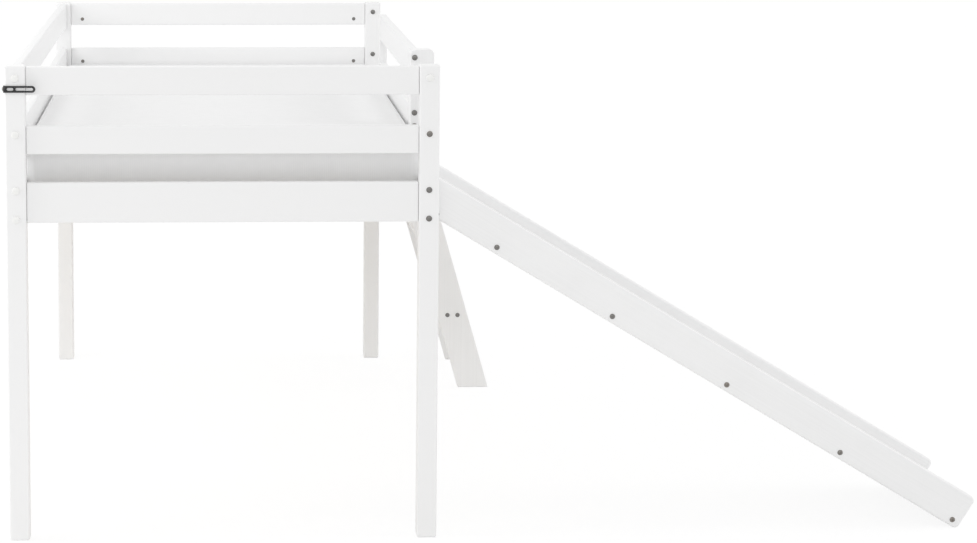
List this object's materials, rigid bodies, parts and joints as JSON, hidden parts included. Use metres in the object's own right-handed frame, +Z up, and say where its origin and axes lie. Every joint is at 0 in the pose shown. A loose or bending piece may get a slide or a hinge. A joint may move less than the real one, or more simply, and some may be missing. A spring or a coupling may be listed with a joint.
{
  "type": "bunk bed with slide",
  "caption": "Half-height white bunk bed with guard rails, a straight slide at one end of its open side, a leaning ladder at the other and a mattress.",
  "frame": {"origin": "on the floor, at the middle of the whole object's footprint", "axes": "+Z up; the bed lies along Y with its near end at -Y; the slide and the ladder stand on its +X side"},
  "size_m": [2.2297, 2.0901, 1.083],
  "materials": {
    "painted_pine": "satin white paint",
    "bare_pine": "planed, bare",
    "white_cover": "matt woven cotton",
    "dark_steel": "dark zinc",
    "black_steel": "matt black",
    "white_plastic": "satin"
  },
  "bodies": {
    "frame": {"post_near_left": "painted_pine", "post_near_right": "painted_pine", "post_far_left": "painted_pine", "post_far_right": "painted_pine", "end_rail_near_top": "painted_pine", "end_rail_near_middle": "painted_pine", "end_rail_near_bottom": "painted_pine", "end_rail_far_top": "painted_pine", "end_rail_far_middle": "painted_pine", "end_rail_far_bottom": "painted_pine", "side_rail_left": "painted_pine", "side_rail_right": "painted_pine", "guard_rail_left_upper": "painted_pine", "guard_rail_left_lower": "painted_pine", "guard_rail_right_upper": "painted_pine", "guard_rail_right_lower": "painted_pine", "guard_upright_by_slide": "painted_pine", "guard_upright_by_ladder": "painted_pine", "slide_side_near": "painted_pine", "slide_side_far": "painted_pine", "slide_panel": "painted_pine", "slide_batten_1": "painted_pine", "slide_batten_2": "painted_pine", "slide_batten_3": "painted_pine", "slide_batten_4": "painted_pine", "slide_batten_5": "painted_pine", "slide_top_cleat": "painted_pine", "ladder_side_near": "painted_pine", "ladder_side_far": "painted_pine", "ladder_tread_1": "painted_pine", "ladder_tread_2": "painted_pine", "ladder_tread_3": "painted_pine", "ladder_top_cleat": "painted_pine", "slat_ledger_left": "bare_pine", "slat_ledger_right": "bare_pine", "slat_01": "bare_pine", "slat_02": "bare_pine", "slat_03": "bare_pine", "slat_04": "bare_pine", "slat_05": "bare_pine", "slat_06": "bare_pine", "slat_07": "bare_pine", "slat_08": "bare_pine", "slat_09": "bare_pine", "slat_10": "bare_pine", "slat_11": "bare_pine", "slat_12": "bare_pine", "blank_bolt_near_upper": "dark_steel", "blank_bolt_near_lower": "dark_steel", "blank_bolt_far_upper": "dark_steel", "blank_bolt_far_lower": "dark_steel", "wall_bracket_screw": "dark_steel", "bolt_cap_1": "white_plastic", "bolt_cap_2": "white_plastic", "bolt_cap_3": "white_plastic", "bolt_cap_4": "white_plastic", "bolt_cap_5": "white_plastic", "wall_bracket": "black_steel"},
    "mattress": {"mattress": "white_cover"}
  },
  "joints": [
    {"name": "mattress_lift", "type": "slide", "parent": "frame", "child": "mattress", "axis": [0, 0, 1], "range_m": [0, 0.25]}
  ]
}
